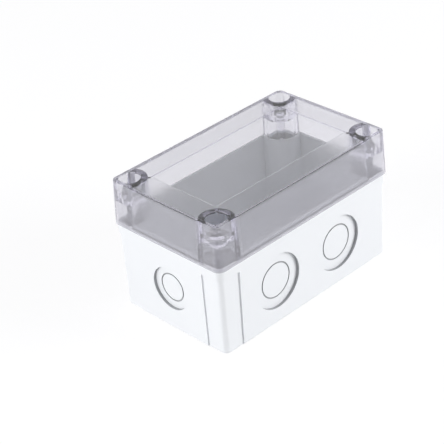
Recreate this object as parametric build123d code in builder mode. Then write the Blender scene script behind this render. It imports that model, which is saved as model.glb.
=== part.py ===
from build123d import *
from math import cos, radians, sin
import os

os.makedirs("parts", exist_ok=True)

# A small sealed wall box: an opaque base with knock-outs, a clear lid, a seal and four corner screws.
# +X runs along the length, +Y across the width, +Z up; the origin is the middle of the base's underside.

# Overall size, over the lid's skirt
length = 130.0
width = 80.0
base_height = 51.0
lid_height = 26.0
corner_radius = 4.5

# Draft of the moulded walls, in degrees from upright
base_draft = 0.6
lid_draft = 2.6

# Walls
base_wall_floor = 2.5
lid_wall = 2.0
lid_panel = 2.0
skirt_wall = 0.6

# Lap joint between lid and base, with the seal on the shelf inside the skirt
skirt_lap = 0.8
skirt_gap = 0.25
seal_height = 0.8
seal_inner_gap = 0.1
seal_width = 1.2
tongue_wall = 1.1
tongue_gap = 0.3
tongue_height = 2.6

# Corner screws: their places, and the wells and hollow corners round them
screw_inset_x = 8.5
screw_inset_y = 8.0
well_radius = 5.9
well_draft = 2.0
well_depth = 10.5
well_floor_edge = 0.8
well_floor = 2.0
lid_corner_radius = 7.4
lid_corner_wall = 2.0
junction_radius = 0.6
base_corner_radius = 7.9
column_radius = 5.6
column_drop = 6.8
column_floor = 4.0

# Cover screw
thread_radius = 3.0
thread_fit = 0.1
thread_length = 12.0
thread_engagement = 10.0
neck_radius = 2.4
neck_gap = 0.2
head_radius = 3.5
head_height = 3.0
head_edge = 0.4
slot_width = 1.1
slot_length = 5.0
slot_depth = 1.5
point_chamfer = 0.8

# Wall fixing holes through the floor, under the cover screws
wall_fixing_radius = 1.75

# Bosses on the floor for a board or a mounting plate
boss_spacing_x = 76.0
boss_spacing_y = 32.0
boss_radius = 3.2
boss_height = 3.0
boss_pilot_radius = 1.4
boss_pilot_depth = 4.0

# Knock-outs: a round recess, with a ring groove in it for the smaller size
knockout_height = 25.2
knockout_depth = 1.7
ring_width = 0.8
ring_depth = 0.55
long_side_spacing = 47.0
long_side_radius = 16.15
long_side_ring = 10.15
short_side_radius = 12.6
short_side_ring = 8.0

# Upright grooves that set off the corner columns, by their distance from the screw's line
groove_width = 0.8
groove_depth = 0.8
groove_offset_x = 5.75
groove_offset_y = 6.3
groove_foot = 1.5

# Shallow step in the lid's top, and the rib at the crown of each scooped corner
step_inset_x = 16.1
step_inset_y = 16.2
step_depth = 0.4
rib_width = 1.6
rib_reach = 1.5

# Edge rounding
base_foot_edge = 0.8
lid_top_edge = 0.3
chamber_floor_edge = 1.0

# Places and sizes that follow from those above
screw_x = length / 2 - screw_inset_x
screw_y = width / 2 - screw_inset_y
shelf_z = base_height + skirt_lap
wall_foot_z = shelf_z + seal_height
top_z = base_height + lid_height
panel_z = top_z - lid_panel
well_floor_z = top_z - well_depth
column_top_z = shelf_z - column_drop
rim_inset = skirt_wall + skirt_gap
chamber_inset = lid_wall + tongue_gap + tongue_wall
lid_crown_radius = lid_corner_radius + lid_corner_wall
tongue_crown_radius = lid_crown_radius + tongue_gap
base_crown_radius = tongue_crown_radius + tongue_wall
thread_bore_radius = thread_radius + thread_fit
neck_hole_radius = neck_radius + neck_gap


def block_outline(inset, height):
    """The box's rounded outline, moved inwards by inset, at a height."""
    with BuildSketch(Plane.XY.offset(height)) as outline:
        Rectangle(length - 2 * inset, width - 2 * inset)
        fillet(outline.vertices(), corner_radius - inset)
    return outline.sketch


def corner_discs(radius, height):
    """A disc about each screw's line, at a height."""
    with BuildSketch(Plane.XY.offset(height)) as discs:
        with GridLocations(2 * screw_x, 2 * screw_y, 2, 2):
            Circle(radius)
    return discs.sketch


def corner_squares(side, height):
    """A square that runs outwards from each screw's line, at a height."""
    with BuildSketch(Plane.XY.offset(height)) as squares:
        with Locations(
            (screw_x, screw_y),
            (-screw_x - side, screw_y),
            (screw_x, -screw_y - side),
            (-screw_x - side, -screw_y - side),
        ):
            Rectangle(side, side, align=Align.MIN)
    return squares.sketch


def joint_outline(inset, height):
    """The lid chamber's outline with its four scooped corners, moved inwards by inset, at a height."""
    drawn_inset = max(inset, 0)
    with BuildSketch(Plane.XY.offset(height)) as outline:
        Rectangle(length - 2 * (lid_wall + drawn_inset), width - 2 * (lid_wall + drawn_inset))
        with GridLocations(2 * screw_x, 2 * screw_y, 2, 2):
            Circle(lid_crown_radius + drawn_inset, mode=Mode.SUBTRACT)
        fillet(outline.vertices(), junction_radius - drawn_inset)
        if inset < 0:
            offset(amount=-inset)
    return outline.sketch


def wall_plane(turn, reach):
    """The drafted outside of a base wall, its origin at the shelf's height; turn 0 is the -Y wall."""
    facing = Vector(0, -1, 0).rotate(Axis.Z, turn)
    along = Vector(1, 0, 0).rotate(Axis.Z, turn)
    outward = facing * cos(radians(base_draft)) - Vector(0, 0, sin(radians(base_draft)))
    return Plane(origin=facing * reach + Vector(0, 0, shelf_z), x_dir=along, z_dir=outward)


# Where the outside faces, grooves and knock-outs lie; drops are measured down the wall from the shelf
wall_reach_long = width / 2 - rim_inset
wall_reach_short = length / 2 - rim_inset
groove_x = screw_x - groove_offset_x
groove_y = screw_y - groove_offset_y
knockout_drop = shelf_z - knockout_height
groove_length = column_top_z - groove_foot
groove_drop = shelf_z - (column_top_z + groove_foot) / 2

# Base chamber: a drafted hollow with a scooped corner round each screw
with BuildPart() as base_chamber:
    with BuildSketch(Plane.XY.offset(shelf_z)):
        Rectangle(length - 2 * chamber_inset, width - 2 * chamber_inset)
    extrude(amount=base_wall_floor - shelf_z)
    upright_faces = base_chamber.faces().filter_by(Axis.Z, reverse=True)
    draft(upright_faces, Plane.XY.offset(shelf_z), -base_draft)
    extrude(corner_discs(base_crown_radius, base_wall_floor), amount=shelf_z, mode=Mode.SUBTRACT)
    floor_edges = base_chamber.faces().sort_by(Axis.Z)[0].edges()
    chamfer(floor_edges, chamber_floor_edge)

# Base corner pockets: an open well at the rim, and below it a slot round each screw column
with BuildPart() as base_pockets:
    extrude(corner_discs(base_corner_radius, column_floor), amount=shelf_z - column_floor)
    extrude(
        corner_discs(column_radius, column_floor),
        amount=column_top_z - column_floor,
        mode=Mode.SUBTRACT,
    )
    extrude(
        corner_squares(base_corner_radius, column_floor),
        amount=column_top_z - column_floor,
        mode=Mode.SUBTRACT,
    )
    extrude(block_outline(chamber_inset, column_floor), amount=shelf_z, mode=Mode.INTERSECT)

# Base: one moulding with a drafted outside, a tongue round the chamber and four screw columns
with BuildPart() as base:
    extrude(block_outline(rim_inset, shelf_z), amount=-shelf_z)
    outside_faces = base.faces().filter_by(Axis.Z, reverse=True)
    draft(outside_faces, Plane.XY.offset(shelf_z), -base_draft)
    fillet(base.faces().sort_by(Axis.Z)[0].edges(), base_foot_edge)
    extrude(joint_outline(tongue_gap, shelf_z), amount=tongue_height)
    with BuildSketch(Plane.XY.offset(shelf_z)):
        Rectangle(length - 2 * chamber_inset, width - 2 * chamber_inset)
        with GridLocations(2 * screw_x, 2 * screw_y, 2, 2):
            Circle(base_crown_radius, mode=Mode.SUBTRACT)
    extrude(amount=tongue_height, mode=Mode.SUBTRACT)
    add(base_chamber.part, mode=Mode.SUBTRACT)
    add(base_pockets.part, mode=Mode.SUBTRACT)
    extrude(corner_discs(thread_bore_radius, column_floor), amount=shelf_z, mode=Mode.SUBTRACT)
    extrude(corner_discs(wall_fixing_radius, 0), amount=column_floor, mode=Mode.SUBTRACT)

    # Floor bosses with blind pilot holes
    with BuildSketch(Plane.XY.offset(base_wall_floor)):
        with GridLocations(boss_spacing_x, boss_spacing_y, 2, 2):
            Circle(boss_radius)
    extrude(amount=boss_height)
    with BuildSketch(Plane.XY.offset(base_wall_floor + boss_height)):
        with GridLocations(boss_spacing_x, boss_spacing_y, 2, 2):
            Circle(boss_pilot_radius)
    extrude(amount=-boss_pilot_depth, mode=Mode.SUBTRACT)

    # Knock-outs and corner grooves, cut square to each wall
    for turn, reach, spacing, count, radius, ring, groove in (
        (0, wall_reach_long, long_side_spacing, 2, long_side_radius, long_side_ring, groove_x),
        (90, wall_reach_short, 0, 1, short_side_radius, short_side_ring, groove_y),
        (180, wall_reach_long, long_side_spacing, 2, long_side_radius, long_side_ring, groove_x),
        (270, wall_reach_short, 0, 1, short_side_radius, short_side_ring, groove_y),
    ):
        face = wall_plane(turn, reach)
        with BuildSketch(face):
            with Locations((0, -knockout_drop)):
                with GridLocations(spacing, 0, count, 1):
                    Circle(radius)
        extrude(amount=-knockout_depth, mode=Mode.SUBTRACT)
        with BuildSketch(face.offset(-knockout_depth)):
            with Locations((0, -knockout_drop)):
                with GridLocations(spacing, 0, count, 1):
                    Circle(ring + ring_width / 2)
                    Circle(ring - ring_width / 2, mode=Mode.SUBTRACT)
        extrude(amount=-ring_depth, mode=Mode.SUBTRACT)
        with BuildSketch(face):
            with Locations((-groove, -groove_drop), (groove, -groove_drop)):
                Rectangle(groove_width, groove_length)
        extrude(amount=-groove_depth, mode=Mode.SUBTRACT)

# Seal: a flat strip on the shelf, following the tongue round the scooped corners
seal_inner_inset = tongue_gap - seal_inner_gap
with BuildPart() as seal:
    extrude(joint_outline(seal_inner_inset - seal_width, shelf_z), amount=seal_height)
    extrude(joint_outline(seal_inner_inset, shelf_z), amount=seal_height, mode=Mode.SUBTRACT)

# Lid chamber: a drafted hollow with a scooped corner round each screw well
with BuildPart() as lid_chamber:
    with BuildSketch(Plane.XY.offset(wall_foot_z)):
        Rectangle(length - 2 * lid_wall, width - 2 * lid_wall)
    extrude(amount=panel_z - wall_foot_z, taper=lid_draft)
    extrude(corner_discs(lid_crown_radius, wall_foot_z), amount=lid_height, mode=Mode.SUBTRACT)
    junctions = lid_chamber.edges().filter_by(lambda edge: edge.bounding_box().size.Z > lid_height / 2)
    fillet(junctions, junction_radius)

# Lid corners: a hollow below each well, and the well itself, both kept inside the outer walls
with BuildPart() as lid_corners:
    hollow_height = well_floor_z - well_floor - wall_foot_z
    extrude(corner_discs(lid_corner_radius, wall_foot_z), amount=hollow_height)
    extrude(corner_squares(lid_corner_radius, wall_foot_z), amount=hollow_height)
    extrude(corner_discs(well_radius, top_z), amount=-well_depth, taper=well_draft)
    well_floors = lid_corners.faces().filter_by_position(
        Axis.Z,
        well_floor_z - well_floor / 2,
        well_floor_z + well_floor / 2,
    )
    chamfer(well_floors.edges(), well_floor_edge)
    extrude(
        block_outline(lid_wall, wall_foot_z),
        amount=top_z - wall_foot_z,
        taper=lid_draft,
        mode=Mode.INTERSECT,
    )

# Lid: one clear moulding with a thin skirt, a sunk top and four screw wells
with BuildPart() as lid:
    extrude(block_outline(0, base_height), amount=lid_height, taper=lid_draft)
    fillet(lid.faces().sort_by(Axis.Z)[-1].edges(), lid_top_edge)
    extrude(
        block_outline(skirt_wall, base_height),
        amount=wall_foot_z - base_height,
        mode=Mode.SUBTRACT,
    )
    add(lid_chamber.part, mode=Mode.SUBTRACT)
    add(lid_corners.part, mode=Mode.SUBTRACT)
    extrude(corner_discs(neck_hole_radius, wall_foot_z), amount=well_floor_z, mode=Mode.SUBTRACT)
    with BuildSketch(Plane.XY.offset(top_z)):
        Rectangle(length - 2 * step_inset_x, width - 2 * step_inset_y)
    extrude(amount=-step_depth, mode=Mode.SUBTRACT)
    with BuildSketch(Plane.XY.offset(wall_foot_z + tongue_height)):
        with Locations(
            Location((screw_x, screw_y), 225),
            Location((-screw_x, screw_y), 315),
            Location((-screw_x, -screw_y), 45),
            Location((screw_x, -screw_y), 135),
        ):
            with Locations((lid_crown_radius - lid_corner_wall / 2, 0)):
                Rectangle(
                    rib_reach + lid_corner_wall / 2,
                    rib_width,
                    align=(Align.MIN, Align.CENTER),
                )
    extrude(until=Until.NEXT)

base.part.label = "base"
seal.part.label = "seal"
lid.part.label = "lid"
export_step(base.part, "parts/base.step")
export_step(seal.part, "parts/seal.step")
export_step(lid.part, "parts/lid.step")

# Cover screws: a round head on the well's floor, a thin neck through the lid, a thread in the column
screw_point_z = column_top_z - thread_engagement
for row, screw_row_y in (("front", -screw_y), ("rear", screw_y)):
    for end, screw_end_x in (("left", -screw_x), ("right", screw_x)):
        seat = Plane.XY.move(Location((screw_end_x, screw_row_y, well_floor_z)))
        point = Plane.XY.move(Location((screw_end_x, screw_row_y, screw_point_z)))
        with BuildPart() as screw:
            with BuildSketch(seat):
                Circle(head_radius)
            extrude(amount=head_height)
            head_top = screw.faces().sort_by(Axis.Z)[-1]
            chamfer(head_top.edges(), head_edge)
            with BuildSketch(seat.offset(head_height)):
                Rectangle(slot_length, slot_width)
                Rectangle(slot_width, slot_length)
            extrude(amount=-slot_depth, mode=Mode.SUBTRACT)
            with BuildSketch(seat):
                Circle(neck_radius)
            extrude(amount=screw_point_z - well_floor_z)
            with BuildSketch(point):
                Circle(thread_radius)
            extrude(amount=thread_length)
            chamfer(screw.faces().sort_by(Axis.Z)[0].edges(), point_chamfer)
        name = f"cover_screw_{row}_{end}"
        screw.part.label = name
        export_step(screw.part, f"parts/{name}.step")
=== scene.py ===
from math import cos, radians, sin

import bpy
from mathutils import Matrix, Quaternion, Vector


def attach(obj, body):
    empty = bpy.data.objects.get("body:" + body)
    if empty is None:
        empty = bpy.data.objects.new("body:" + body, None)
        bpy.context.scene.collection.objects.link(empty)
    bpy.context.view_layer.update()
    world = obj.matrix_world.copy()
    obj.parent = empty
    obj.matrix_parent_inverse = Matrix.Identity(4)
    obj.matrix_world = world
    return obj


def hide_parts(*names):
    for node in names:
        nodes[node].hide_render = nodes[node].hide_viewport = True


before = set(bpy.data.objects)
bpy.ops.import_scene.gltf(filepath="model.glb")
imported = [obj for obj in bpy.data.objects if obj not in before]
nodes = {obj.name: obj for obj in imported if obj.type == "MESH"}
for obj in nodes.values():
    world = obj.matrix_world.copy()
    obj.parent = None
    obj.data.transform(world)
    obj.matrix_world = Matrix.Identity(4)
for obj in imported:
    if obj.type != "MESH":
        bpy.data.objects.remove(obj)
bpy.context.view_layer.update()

bpy.ops.object.select_all(action="DESELECT")

# Base. The opaque half of the box: one moulding in pale, slightly blue polycarbonate, with a fine
# satin skin from the mould. Shade is painted on the knock-outs' steep walls and in their rings.
BASE_COLOUR = (0.845, 0.865, 0.895, 1)
BASE_COLOUR_DRIFT = (0.86, 0.875, 0.905, 1)
# Painted shade: the grey for the knock-outs' steep walls and ring grooves, where shade falls.
RECESS_PAINTED_SHADE = (0.40, 0.41, 0.43, 1)
SHELF_HEIGHT = 0.0518
WALL_LEAN = 0.01047
LONG_WALL = 0.03915
SHORT_WALL = 0.06415
KNOCKOUT_HEIGHT = 0.0252
LONG_KNOCKOUT_X = 0.0235
LONG_KNOCKOUT_RADIUS = 0.01615
LONG_RING_RADIUS = 0.01015
SHORT_KNOCKOUT_RADIUS = 0.0126
SHORT_RING_RADIUS = 0.008
RING_HALF_WIDTH = 0.00042
KNOCKOUT_DEPTH = 0.0017
WALL_DEPTH = 0.0024
FACE_SLACK = 0.0001
BASE_ROUGHNESS = 0.38
BASE_GRAIN = 1400
BASE_GRAIN_HEIGHT = 0.00002
DRIFT_SCALE = 18
DRIFT_DETAIL = 3
GRAIN_DETAIL = 2
GRAIN_SHARPNESS = 0.6
DRIFT_GLOSS = 0.07
GRAIN_GLOSS = 0.04
GLOSS_START = 0.05
PLASTIC_IOR = 1.58


class Wire:
    """An output in a node tree. Arithmetic on it adds Math nodes; node() adds any other kind."""

    def __init__(self, tree, socket=None):
        self.tree = tree
        self.socket = socket

    def node(self, kind, settings=None, sockets=None, output=0):
        """Adds a node of this kind, sets it up, feeds its sockets and gives the named output."""
        made = self.tree.nodes.new(kind)
        for name, value in (settings or {}).items():
            setattr(made, name, value)
        for name, value in (sockets or {}).items():
            if isinstance(value, Wire):
                self.tree.links.new(value.socket, made.inputs[name])
            else:
                made.inputs[name].default_value = value
        return Wire(self.tree, made.outputs[output] if made.outputs else None)

    def maths(self, operation, first, second=0.0):
        return self.node("ShaderNodeMath", {"operation": operation}, {0: first, 1: second})

    def __add__(self, other):
        return self.maths("ADD", self, other)

    def __radd__(self, other):
        return self.maths("ADD", other, self)

    def __sub__(self, other):
        return self.maths("SUBTRACT", self, other)

    def __rsub__(self, other):
        return self.maths("SUBTRACT", other, self)

    def __mul__(self, other):
        return self.maths("MULTIPLY", self, other)

    def __rmul__(self, other):
        return self.maths("MULTIPLY", other, self)

    def __pow__(self, other):
        return self.maths("POWER", self, other)

    def __abs__(self):
        return self.maths("ABSOLUTE", self)

    def __gt__(self, other):
        return self.maths("GREATER_THAN", self, other)

    def __lt__(self, other):
        return self.maths("LESS_THAN", self, other)

    def __or__(self, other):
        return self.maths("MAXIMUM", self, other)


def new_material(name):
    """An empty material, with a wire into its node tree and one from its Object coordinates."""
    material = bpy.data.materials.new(name)
    material.use_nodes = True
    material.node_tree.nodes.clear()
    start = Wire(material.node_tree)
    place = start.node("ShaderNodeTexCoord", output="Object")
    return material, start, place


def speckle(place, scale, detail, roughness=0.5):
    """Soft noise between 0 and 1, at this many cycles a metre."""
    sockets = {"Vector": place, "Scale": scale, "Detail": detail, "Roughness": roughness}
    return place.node("ShaderNodeTexNoise", sockets=sockets)


def blend_colours(factor, first, second):
    """A colour that goes from the first to the second with a factor between 0 and 1."""
    factor_in, first_in, second_in, colour_out = 0, 6, 7, 2
    sockets = {factor_in: factor, first_in: first, second_in: second}
    return factor.node("ShaderNodeMix", {"data_type": "RGBA"}, sockets, colour_out)


def axes(place):
    """The x, y and z of a place, as three wires."""
    return [place.node("ShaderNodeSeparateXYZ", sockets={"Vector": place}, output=a) for a in "XYZ"]


def distance(across, along):
    """How far a point is from an axis, from its two distances along a plane."""
    return (across * across + along * along) ** 0.5


def in_knockout(across, height, depth, radius, ring_radius):
    """1 on the steep wall of a round knock-out and in its ring groove, where shade is painted, from
    a place on the wall.
    """
    from_axis = distance(across, height)
    near_edge = (from_axis > radius - FACE_SLACK) * (from_axis < radius + FACE_SLACK)
    on_steep = near_edge * (depth > FACE_SLACK)
    near_ring = abs(from_axis - ring_radius) < RING_HALF_WIDTH
    in_ring = near_ring * (depth > KNOCKOUT_DEPTH + FACE_SLACK / 2)
    return on_steep | in_ring


def painted_shade_mask(place):
    """1 on the steep walls and in the ring grooves of the base's six knock-outs, where shade is
    painted.
    """
    x, y, z = axes(place)
    lean = (SHELF_HEIGHT - z) * WALL_LEAN
    height = z - KNOCKOUT_HEIGHT
    long_depth = LONG_WALL - lean - abs(y)
    short_depth = SHORT_WALL - lean - abs(x)
    long_across = abs(x) - LONG_KNOCKOUT_X
    on_long = in_knockout(
        long_across, height, long_depth, LONG_KNOCKOUT_RADIUS, LONG_RING_RADIUS
    )
    on_short = in_knockout(y, height, short_depth, SHORT_KNOCKOUT_RADIUS, SHORT_RING_RADIUS)
    return on_long * (long_depth < WALL_DEPTH) | on_short * (short_depth < WALL_DEPTH)


def moulded_plastic(name, colour, colour_drift, roughness, grain, grain_height, recess_shade=None):
    """Opaque plastic with faint drifts of colour and gloss, the mould's fine grain as bump, and
    painted shade in the base's knock-outs if a shade colour is given.
    """
    material, start, place = new_material(name)
    drift = speckle(place, DRIFT_SCALE, DRIFT_DETAIL)
    skin = speckle(place, grain, GRAIN_DETAIL, GRAIN_SHARPNESS)
    bump = start.node(
        "ShaderNodeBump", sockets={"Strength": 1.0, "Distance": grain_height, "Height": skin}
    )
    tone = blend_colours(drift, colour, colour_drift)
    # Painted shade: the knock-outs' steep walls and ring grooves turn to the darker grey.
    if recess_shade:
        tone = blend_colours(painted_shade_mask(place), tone, recess_shade)
    shader = start.node(
        "ShaderNodeBsdfPrincipled",
        sockets={
            "Base Color": tone,
            "Roughness": roughness - GLOSS_START + DRIFT_GLOSS * drift + GRAIN_GLOSS * skin,
            "IOR": PLASTIC_IOR,
            "Normal": bump,
        },
    )
    start.node("ShaderNodeOutputMaterial", sockets={"Surface": shader})
    return material


def dress(piece, material):
    """Gives a piece this one material."""
    piece.data.materials.clear()
    piece.data.materials.append(material)


base_plastic = moulded_plastic(
    "base_plastic",
    BASE_COLOUR,
    BASE_COLOUR_DRIFT,
    BASE_ROUGHNESS,
    BASE_GRAIN,
    BASE_GRAIN_HEIGHT,
    RECESS_PAINTED_SHADE,
)

# Corner columns. They are part of the base's moulding and stand a little back from the walls, from
# the foot up. A tool with the columns' own outline takes the skin off a copy of the base there.
COLUMN_SETBACK = 0.00075
COLUMN_TOP = 0.045
COLUMN_START_X = 0.05035
COLUMN_START_Y = 0.0253
COLUMN_ROUND = 0.0029
COLUMN_SEGMENTS = 8
TOOL_FOOT = -0.001
TOOL_REACH = 0.075
MERGE_DISTANCE = 0.000001
SMOOTH_ANGLE = radians(30)


def cube_between(low, high):
    """A cube that fills the space between two corners, with its place in its mesh."""
    middle = [(a + b) / 2 for a, b in zip(low, high)]
    spans = [b - a for a, b in zip(low, high)]
    bpy.ops.mesh.primitive_cube_add(size=1, location=middle, scale=spans)
    bpy.ops.object.transform_apply(location=True, rotation=True, scale=True)
    return bpy.context.object


def pick(piece, vertices=None, edges=None):
    """Selects the vertices or edges of a mesh that a test picks out, and goes into edit mode."""
    bpy.ops.object.select_all(action="DESELECT")
    piece.select_set(True)
    bpy.context.view_layer.objects.active = piece
    bpy.ops.object.mode_set(mode="EDIT")
    bpy.ops.mesh.select_all(action="DESELECT")
    bpy.ops.mesh.select_mode(type="VERT" if vertices else "EDGE")
    bpy.ops.object.mode_set(mode="OBJECT")
    points = piece.data.vertices
    if vertices:
        for point in points:
            point.select = vertices(point.co)
    if edges:
        for edge in piece.data.edges:
            edge.select = edges(points[edge.vertices[0]].co, points[edge.vertices[1]].co)
    bpy.ops.object.mode_set(mode="EDIT")


def carve(piece, tool, operation="DIFFERENCE"):
    """Takes the tool's solid away from a piece, or joins it on, and removes the tool."""
    bpy.ops.object.select_all(action="DESELECT")
    piece.select_set(True)
    bpy.context.view_layer.objects.active = piece
    cut = piece.modifiers.new("cut", "BOOLEAN")
    cut.operation = operation
    cut.solver = "EXACT"
    cut.object = tool
    bpy.ops.object.modifier_apply(modifier="cut")
    bpy.data.objects.remove(tool)


def copy_merged(node, name):
    """A copy of a CAD node with its split vertices merged, left in edit mode."""
    bpy.ops.object.select_all(action="DESELECT")
    node.select_set(True)
    bpy.context.view_layer.objects.active = node
    bpy.ops.object.duplicate()
    bpy.context.object.name = name
    bpy.ops.mesh.customdata_custom_splitnormals_clear()
    bpy.ops.object.mode_set(mode="EDIT")
    bpy.ops.mesh.select_all(action="SELECT")
    bpy.ops.mesh.remove_doubles(threshold=MERGE_DISTANCE)
    return bpy.context.object


half_length = SHORT_WALL - COLUMN_SETBACK
half_width = LONG_WALL - COLUMN_SETBACK
columns = cube_between(
    (-half_length, -half_width, TOOL_FOOT), (half_length, half_width, SHELF_HEIGHT)
)
pick(columns, edges=lambda a, b: abs(a.z - b.z) > SHELF_HEIGHT / 2)
bpy.ops.mesh.bevel(offset=COLUMN_ROUND, segments=COLUMN_SEGMENTS, affect="EDGES")
bpy.ops.object.mode_set(mode="OBJECT")
pick(columns, vertices=lambda place: place.z < 0)
foot_lean = (SHELF_HEIGHT - TOOL_FOOT) * WALL_LEAN
bpy.ops.transform.resize(
    value=(1 - foot_lean / half_length, 1 - foot_lean / half_width, 1), center_override=(0, 0, 0)
)
bpy.ops.object.mode_set(mode="OBJECT")

skin = cube_between(
    (COLUMN_START_X, COLUMN_START_Y, TOOL_FOOT / 2), (TOOL_REACH, TOOL_REACH, COLUMN_TOP)
)
mirror = skin.modifiers.new("corners", "MIRROR")
mirror.use_axis = (True, True, False)
bpy.ops.object.modifier_apply(modifier="corners")
carve(skin, columns)

base_moulding = copy_merged(nodes["base"], "base_moulding")
bpy.ops.object.mode_set(mode="OBJECT")
carve(base_moulding, skin)
bpy.ops.object.shade_smooth_by_angle(angle=SMOOTH_ANGLE)
flat = base_moulding.modifiers.new("flat_walls", "WEIGHTED_NORMAL")
flat.keep_sharp = True
bpy.ops.object.modifier_apply(modifier="flat_walls")
dress(base_moulding, base_plastic)
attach(base_moulding, "base")
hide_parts("base")

# Seal. A flat strip of pale foamed rubber, laid on the base's shelf round the tongue. The lid's
# wall stands on it, and it shows as a light line through the clear plastic.
SEAL_COLOUR = (0.80, 0.81, 0.83, 1)
SEAL_COLOUR_DRIFT = (0.84, 0.85, 0.86, 1)
SEAL_ROUGHNESS = 0.75
SEAL_PORES = 2500
SEAL_PORE_DEPTH = 0.00006

seal_foam = moulded_plastic(
    "seal_foam", SEAL_COLOUR, SEAL_COLOUR_DRIFT, SEAL_ROUGHNESS, SEAL_PORES, SEAL_PORE_DEPTH
)
dress(nodes["seal"], seal_foam)

# Lid. A deep moulding in clear polycarbonate, with a lavender cast where light runs along a wall.
# It is polished inside and over the window, and a little matt on the rest of the outside, least at
# the corners. The solid crowns round the wells are painted dark, as painted shade. Its CAD shape is
# kept.
LID_TINT = (0.99, 0.99, 1.0, 1)
LID_DEPTH_TINT = (0.72, 0.70, 0.85, 1)
LID_DENSITY = 42
LID_IOR = 1.585
LID_POLISH = 0.01
POLISH_DRIFT = 0.02
POLISH_SCALE = 60
POLISH_DETAIL = 3
SIDE_FROST = 0.22
BORDER_FROST = 0.22
SIDE_VEIL = 0.36
CORNER_VEIL = 0.40
CORNER_FROST = 0.06
VEIL_COLOUR = (0.90, 0.89, 0.96, 1)
VEIL_THROUGH = 0.45
# Painted shade: the dark colour of the solid crowns round the wells.
CROWN_PAINTED_SHADE = (0.10, 0.095, 0.115, 1)
LID_FOOT = 0.051
LID_LEAN = 0.0454
LID_HALF_LENGTH = 0.065
LID_HALF_WIDTH = 0.040
LID_CORNER_RADIUS = 0.0045
SIDE_SLACK = 0.0003
BORDER_SLACK = 0.0004
WINDOW_HEIGHT = 0.0768
SCREW_X = 0.0565
SCREW_Y = 0.032
WELL_RADIUS = 0.0061
CROWN_RADIUS = 0.0094
CROWN_REACH_X = 0.0617
CROWN_REACH_Y = 0.0367
CORNER_START_X = 0.0475
CORNER_START_Y = 0.0243

clear_lid, start, place = new_material("clear_lid")
x, y, z = axes(place)

# How far a point lies out from the straight part of the walls, once their lean is taken away
lean = (z - LID_FOOT) * LID_LEAN
out_x = abs(x) + lean - (LID_HALF_LENGTH - LID_CORNER_RADIUS) | 0.0
out_y = abs(y) + lean - (LID_HALF_WIDTH - LID_CORNER_RADIUS) | 0.0
out = distance(out_x, out_y)
on_side = (out > LID_CORNER_RADIUS - SIDE_SLACK) * (z < WINDOW_HEIGHT - FACE_SLACK)
on_border = (z > WINDOW_HEIGHT) * (out < LID_CORNER_RADIUS - BORDER_SLACK)

# The solid crown between a well and the chamber, where shade is painted
from_screw = distance(abs(x) - SCREW_X, abs(y) - SCREW_Y)
in_crown = (from_screw > WELL_RADIUS) * (from_screw < CROWN_RADIUS)
in_reach = (abs(x) < CROWN_REACH_X) * (abs(y) < CROWN_REACH_Y)
on_crown = on_border * in_crown * in_reach

in_corner = (abs(x) > CORNER_START_X) * (abs(y) > CORNER_START_Y)
veil = (SIDE_VEIL + (CORNER_VEIL - SIDE_VEIL) * in_corner) * on_side
side_frost = (SIDE_FROST + (CORNER_FROST - SIDE_FROST) * in_corner) * on_side
polish = LID_POLISH + POLISH_DRIFT * speckle(place, POLISH_SCALE, POLISH_DETAIL)
border_frost = BORDER_FROST * on_border * (1 - on_crown)
# Painted shade: the crowns take the dark colour in place of the clear tint.
lid_glass = start.node(
    "ShaderNodeBsdfPrincipled",
    sockets={
        "Base Color": blend_colours(on_crown, LID_TINT, CROWN_PAINTED_SHADE),
        "Roughness": polish + side_frost + border_frost,
        "IOR": LID_IOR,
        "Transmission Weight": 1.0,
    },
)
matt_skin = start.node("ShaderNodeBsdfDiffuse", sockets={"Color": VEIL_COLOUR})
glow_through = start.node("ShaderNodeBsdfTranslucent", sockets={"Color": VEIL_COLOUR})
lid_veil = start.node(
    "ShaderNodeMixShader", sockets={0: VEIL_THROUGH, 1: matt_skin, 2: glow_through}
)
lid_surface = start.node("ShaderNodeMixShader", sockets={0: veil, 1: lid_glass, 2: lid_veil})
lid_depth = start.node(
    "ShaderNodeVolumeAbsorption", sockets={"Color": LID_DEPTH_TINT, "Density": LID_DENSITY}
)
start.node("ShaderNodeOutputMaterial", sockets={"Surface": lid_surface, "Volume": lid_depth})
dress(nodes["lid"], clear_lid)

# Cover screws. Four captive screws moulded in the same clear plastic as the lid, one on the floor
# of each corner well, with a cross slot in a round head. Below its thin neck each has a coarse
# thread, which is spun from one tooth and joined to the head and neck.
SCREW_TINT = (0.97, 0.965, 0.985, 1)
SCREW_DEPTH_TINT = (0.72, 0.70, 0.83, 1)
SCREW_DENSITY = 40
SCREW_ROUGHNESS = 0.06
SCREW_WEAR = 0.05
SCREW_WEAR_SCALE = 400
SCREW_WEAR_DETAIL = 2
THREAD_POINT = 0.035
THREAD_TOP = 0.0472
THREAD_CREST = 0.00298
THREAD_ROOT = 0.00255
THREAD_PITCH = 0.0016
THREAD_TURNS = 10
THREAD_STEPS = 24
NECK_CUT = 0.04705

clear_screw, start, place = new_material("screw_plastic")
screw_wear = SCREW_WEAR * speckle(place, SCREW_WEAR_SCALE, SCREW_WEAR_DETAIL)
screw_glass = start.node(
    "ShaderNodeBsdfPrincipled",
    sockets={
        "Base Color": SCREW_TINT,
        "Roughness": SCREW_ROUGHNESS + screw_wear,
        "IOR": LID_IOR,
        "Transmission Weight": 1.0,
    },
)
screw_depth = start.node(
    "ShaderNodeVolumeAbsorption", sockets={"Color": SCREW_DEPTH_TINT, "Density": SCREW_DENSITY}
)
start.node("ShaderNodeOutputMaterial", sockets={"Surface": screw_glass, "Volume": screw_depth})


def cut_flat(height, keep_above):
    """Cuts the mesh in edit mode at a height, drops one side and closes the cut."""
    bpy.ops.mesh.select_all(action="SELECT")
    bpy.ops.mesh.bisect(
        plane_co=(0, 0, height),
        plane_no=(0, 0, 1),
        use_fill=True,
        clear_inner=keep_above,
        clear_outer=not keep_above,
        threshold=MERGE_DISTANCE,
    )


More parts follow.
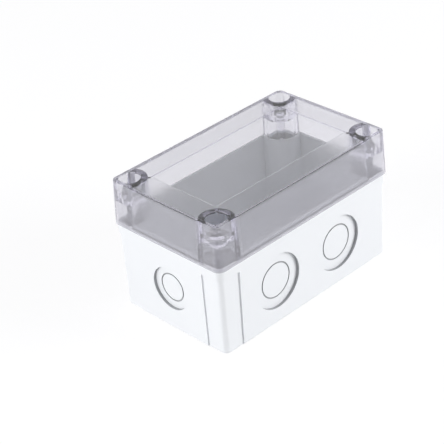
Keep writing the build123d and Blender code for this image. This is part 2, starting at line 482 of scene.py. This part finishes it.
# One tooth: a plane drawn together to a point, and pulled out to a wire from root to crest to root
tooth_height = THREAD_CREST - THREAD_ROOT
bpy.ops.object.select_all(action="DESELECT")
bpy.ops.mesh.primitive_plane_add(size=THREAD_PITCH)
thread = bpy.context.object
bpy.ops.object.mode_set(mode="EDIT")
bpy.ops.mesh.select_all(action="SELECT")
bpy.ops.mesh.merge(type="CENTER")
bpy.ops.transform.translate(value=(THREAD_ROOT, 0, THREAD_POINT - THREAD_PITCH))
bpy.ops.mesh.extrude_vertices_move(
    TRANSFORM_OT_translate={"value": (tooth_height, 0, THREAD_PITCH / 2)}
)
bpy.ops.mesh.extrude_vertices_move(
    TRANSFORM_OT_translate={"value": (-tooth_height, 0, THREAD_PITCH / 2)}
)
bpy.ops.object.mode_set(mode="OBJECT")
turns = thread.modifiers.new("turns", "SCREW")
turns.screw_offset = THREAD_PITCH
turns.iterations = THREAD_TURNS
turns.steps = THREAD_STEPS
turns.render_steps = THREAD_STEPS
bpy.ops.object.modifier_apply(modifier="turns")
bpy.ops.object.mode_set(mode="EDIT")
bpy.ops.mesh.select_all(action="SELECT")
bpy.ops.mesh.remove_doubles(threshold=MERGE_DISTANCE)
cut_flat(THREAD_POINT, keep_above=True)
cut_flat(THREAD_TOP, keep_above=False)
bpy.ops.mesh.select_all(action="SELECT")
bpy.ops.mesh.normals_make_consistent(inside=False)
bpy.ops.object.mode_set(mode="OBJECT")

for corner, along, across in (
    ("front_left", -SCREW_X, -SCREW_Y),
    ("front_right", SCREW_X, -SCREW_Y),
    ("rear_left", -SCREW_X, SCREW_Y),
    ("rear_right", SCREW_X, SCREW_Y),
):
    screw = copy_merged(nodes["cover_screw_" + corner], "threaded_screw_" + corner)
    cut_flat(NECK_CUT, keep_above=True)
    bpy.ops.object.mode_set(mode="OBJECT")

    bpy.ops.object.select_all(action="DESELECT")
    thread.select_set(True)
    bpy.context.view_layer.objects.active = thread
    bpy.ops.object.duplicate()
    shank = bpy.context.object
    bpy.ops.object.mode_set(mode="EDIT")
    bpy.ops.mesh.select_all(action="SELECT")
    bpy.ops.transform.translate(value=(along, across, 0))
    bpy.ops.object.mode_set(mode="OBJECT")
    carve(screw, shank, "UNION")
    bpy.ops.object.shade_smooth_by_angle(angle=SMOOTH_ANGLE)
    dress(screw, clear_screw)
    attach(screw, "screw_" + corner)
    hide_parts("cover_screw_" + corner)
bpy.data.objects.remove(thread)

# Floor. A wide white sheet of paper under the box. The eye, mirrors and glass see it as pure white,
# apart from the box's own shadow; as a source of light it is plain white paper.
FLOOR_SIZE = 6.0
FLOOR_DROP = 0.0002
SHEET_SHADE = (0.30, 0.30, 0.31, 1)
SHEET_GLOW = 0.78
PAPER_WHITE = (0.8, 0.8, 0.8, 1)

bpy.ops.mesh.primitive_plane_add(size=FLOOR_SIZE, location=(0, 0, -FLOOR_DROP))
floor = bpy.context.object
floor.name = "floor_sheet"
white_sheet, start, place = new_material("white_sheet")
shade = start.node("ShaderNodeBsdfDiffuse", sockets={"Color": SHEET_SHADE})
glow = start.node("ShaderNodeEmission", sockets={"Color": (1, 1, 1, 1), "Strength": SHEET_GLOW})
seen_sheet = start.node("ShaderNodeAddShader", sockets={0: shade, 1: glow})
paper = start.node("ShaderNodeBsdfDiffuse", sockets={"Color": PAPER_WHITE})


def ray_is(start, kind):
    """1 for rays of this kind, 0 for the rest."""
    return start.node("ShaderNodeLightPath", output=f"Is {kind} Ray")


seen = ray_is(start, "Camera") | ray_is(start, "Glossy") | ray_is(start, "Transmission")
sheet = start.node("ShaderNodeMixShader", sockets={0: seen, 1: paper, 2: seen_sheet})
start.node("ShaderNodeOutputMaterial", sockets={"Surface": sheet})
dress(floor, white_sheet)

# Room. White all round, with one dim side, where a studio is open and unlit. The eye sees pure
# white behind the box, and glass and gloss see the room as it is.
DIM_SIDE = (-0.6556, -0.7193, 0.23)
DIM_START = 0.45
DIM_END = 0.85
DIM_LEVEL = 0.34
ROOM_LIGHT = 0.52

room_world = bpy.data.worlds.new("white_room")
bpy.context.scene.world = room_world
room_world.use_nodes = True
room_world.node_tree.nodes.clear()
room = Wire(room_world.node_tree)
heading = room.node("ShaderNodeTexCoord", output="Generated")
towards_dim = room.node(
    "ShaderNodeVectorMath", {"operation": "DOT_PRODUCT"}, {0: heading, 1: DIM_SIDE}, "Value"
)
level = room.node(
    "ShaderNodeMapRange",
    {"interpolation_type": "SMOOTHSTEP"},
    {
        "Value": towards_dim,
        "From Min": DIM_START,
        "From Max": DIM_END,
        "To Min": 1.0,
        "To Max": DIM_LEVEL,
    },
)
to_eye = ray_is(room, "Camera")
to_glass = ray_is(room, "Glossy") | ray_is(room, "Transmission")
strength = to_eye + (1 - to_eye) * level * (to_glass + (1 - to_glass) * ROOM_LIGHT)
background = room.node(
    "ShaderNodeBackground", sockets={"Color": (1, 1, 1, 1), "Strength": strength}
)
room.node("ShaderNodeOutputWorld", sockets={"Surface": background})

# Lamps. Two large soft boxes stand low on either side of the camera, each facing one side of the
# box. Gloss and glass don't show them, so that the window stays clear from every side.
LAMP_AIM = Vector((0, 0, 0.04))
LAMP_SIZE = 1.0
LEFT_LAMP = ((-1.4, 0.3, 0.35), 16.4)
RIGHT_LAMP = ((0.95, -1.28, 0.35), 22.4)

for spot, energy in (LEFT_LAMP, RIGHT_LAMP):
    bpy.ops.object.light_add(type="AREA", location=spot)
    lamp = bpy.context.object
    lamp.data.energy = energy
    lamp.data.size = LAMP_SIZE
    lamp.visible_glossy = False
    lamp.visible_transmission = False
    lamp.rotation_euler = (LAMP_AIM - lamp.location).to_track_quat("-Z", "Y").to_euler()

# Camera. It stands off the box's near corner, a little above it and turned slightly on its side,
# with a long lens.
CAMERA_AZIMUTH = radians(-42.3365)
CAMERA_ELEVATION = radians(31.6792)
CAMERA_ROLL = radians(-4.8424)
CAMERA_DISTANCE = 0.80627
CAMERA_AIM = Vector((-0.0168103, 0.0076542, 0.0400))
CAMERA_LENS = 122.195
CAMERA_SENSOR = 36

away = Vector(
    (
        sin(CAMERA_AZIMUTH) * cos(CAMERA_ELEVATION),
        -cos(CAMERA_AZIMUTH) * cos(CAMERA_ELEVATION),
        sin(CAMERA_ELEVATION),
    )
)
bpy.ops.object.camera_add(location=CAMERA_AIM + CAMERA_DISTANCE * away)
camera = bpy.context.object
camera.rotation_mode = "QUATERNION"
camera.rotation_quaternion = (-away).to_track_quat("-Z", "Y") @ Quaternion((0, 0, 1), CAMERA_ROLL)
camera.data.lens = CAMERA_LENS
camera.data.sensor_width = CAMERA_SENSOR
bpy.context.scene.camera = camera
bpy.context.scene.view_settings.view_transform = "Standard"
